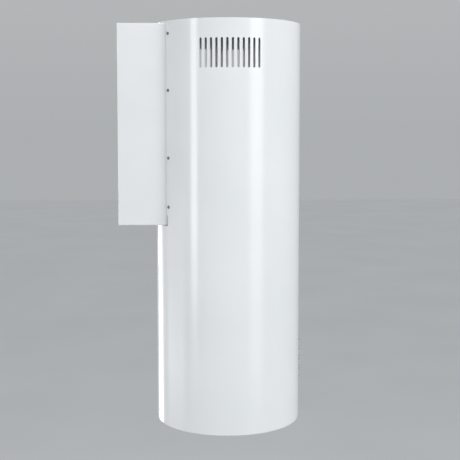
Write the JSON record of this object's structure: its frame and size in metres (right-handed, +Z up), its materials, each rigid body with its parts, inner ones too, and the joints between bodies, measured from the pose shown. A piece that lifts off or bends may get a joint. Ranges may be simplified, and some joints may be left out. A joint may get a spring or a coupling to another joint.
{
  "type": "wall cooker hood",
  "caption": "Wall-mounted cylindrical cooker hood: tall white drum with vent slots on a stand-off box, with blower, non-return flaps, grease filter, lamps and push buttons.",
  "frame": {"origin": "middle of the four wall-bolt holes, on the back face of the wall bracket, which is the wall plane", "axes": "+Z up along the drum, +Y into the wall, so the buttons face -Y, +X across the hood"},
  "size_m": [0.37, 0.4665, 1.018],
  "materials": {
    "white_enamel": "gloss",
    "zinc_steel": "satin",
    "dark_screw": "satin",
    "grey_abs": "matt",
    "white_abs": "gloss",
    "black_plastic": "matt",
    "aluminium": "satin",
    "chrome_button": "polished",
    "rubber": "matt",
    "frosted_glass": "frosted",
    "motor_steel": "satin",
    "copper_winding": "satin",
    "circuit_board": "satin"
  },
  "bodies": {
    "hood": {"jacket": "white_enamel", "top_plate": "zinc_steel", "box_casing": "white_enamel", "box_screws": "dark_screw", "wall_bracket": "zinc_steel", "carrier": "zinc_steel", "carrier_bolts": "zinc_steel", "cross_bars": "zinc_steel", "lower_rails": "zinc_steel", "upper_rails": "zinc_steel", "blower_deck": "zinc_steel", "outlet_collar": "grey_abs", "flap_rods": "zinc_steel", "collar_screws": "zinc_steel", "scroll_right": "grey_abs", "scroll_left": "grey_abs", "outlet_adaptor": "grey_abs", "motor_housing": "motor_steel", "motor_cap": "motor_steel", "motor_bearings": "motor_steel", "stator": "copper_winding", "motor_spider": "zinc_steel", "spider_bushes": "rubber", "spider_screws": "zinc_steel", "capacitor": "white_abs", "capacitor_clip": "zinc_steel", "led_driver": "white_abs", "terminal_box": "white_abs", "terminal_cover": "white_abs", "terminal_block": "black_plastic", "underpan": "white_enamel", "filter_pins": "zinc_steel", "lamp_bezels": "chrome_button", "lamp_lenses": "frosted_glass", "lamp_housings": "aluminium", "led_modules": "aluminium", "button_guide": "grey_abs", "control_board": "circuit_board", "board_switches": "black_plastic", "board_screws": "zinc_steel"},
    "impeller_rotor": {"impeller": "black_plastic", "motor_shaft": "motor_steel", "rotor": "motor_steel"},
    "front_flap": {"front_flap": "grey_abs"},
    "rear_flap": {"rear_flap": "grey_abs"},
    "filter": {"filter_frame": "aluminium", "filter_mesh": "aluminium"},
    "filter_catch": {"filter_catch": "black_plastic"},
    "button_1": {"button_1": "white_abs"},
    "button_2": {"button_2": "white_abs"},
    "button_3": {"button_3": "white_abs"},
    "button_4": {"button_4": "white_abs"},
    "button_5": {"button_5": "white_abs"}
  },
  "joints": [
    {"name": "impeller_spin", "type": "hinge", "parent": "hood", "child": "impeller_rotor", "pos_m": [0, -0.3265, -0.44325], "axis": [1, 0, 0], "continuous": true},
    {"name": "front_flap_hinge", "type": "hinge", "parent": "hood", "child": "front_flap", "pos_m": [0, -0.2797, -0.23325], "axis": [-1, 0, 0], "range_deg": [0, 80]},
    {"name": "rear_flap_hinge", "type": "hinge", "parent": "hood", "child": "rear_flap", "pos_m": [0, -0.2733, -0.23325], "axis": [1, 0, 0], "range_deg": [0, 80]},
    {"name": "filter_hinge", "type": "hinge", "parent": "hood", "child": "filter", "pos_m": [0, -0.151, -0.74995], "axis": [1, 0, 0], "range_deg": [0, 80]},
    {"name": "catch_slide", "type": "slide", "parent": "filter", "child": "filter_catch", "axis": [0, 1, 0], "range_m": [0, 0.006], "stiffness_N_per_m": 300},
    {"name": "button_1_press", "type": "slide", "parent": "hood", "child": "button_1", "axis": [0, 1, 0], "range_m": [0, 0.0025], "stiffness_N_per_m": 800},
    {"name": "button_2_press", "type": "slide", "parent": "hood", "child": "button_2", "axis": [0, 1, 0], "range_m": [0, 0.0025], "stiffness_N_per_m": 800},
    {"name": "button_3_press", "type": "slide", "parent": "hood", "child": "button_3", "axis": [0, 1, 0], "range_m": [0, 0.0025], "stiffness_N_per_m": 800},
    {"name": "button_4_press", "type": "slide", "parent": "hood", "child": "button_4", "axis": [0, 1, 0], "range_m": [0, 0.0025], "stiffness_N_per_m": 800},
    {"name": "button_5_press", "type": "slide", "parent": "hood", "child": "button_5", "axis": [0, 1, 0], "range_m": [0, 0.0025], "stiffness_N_per_m": 800}
  ]
}
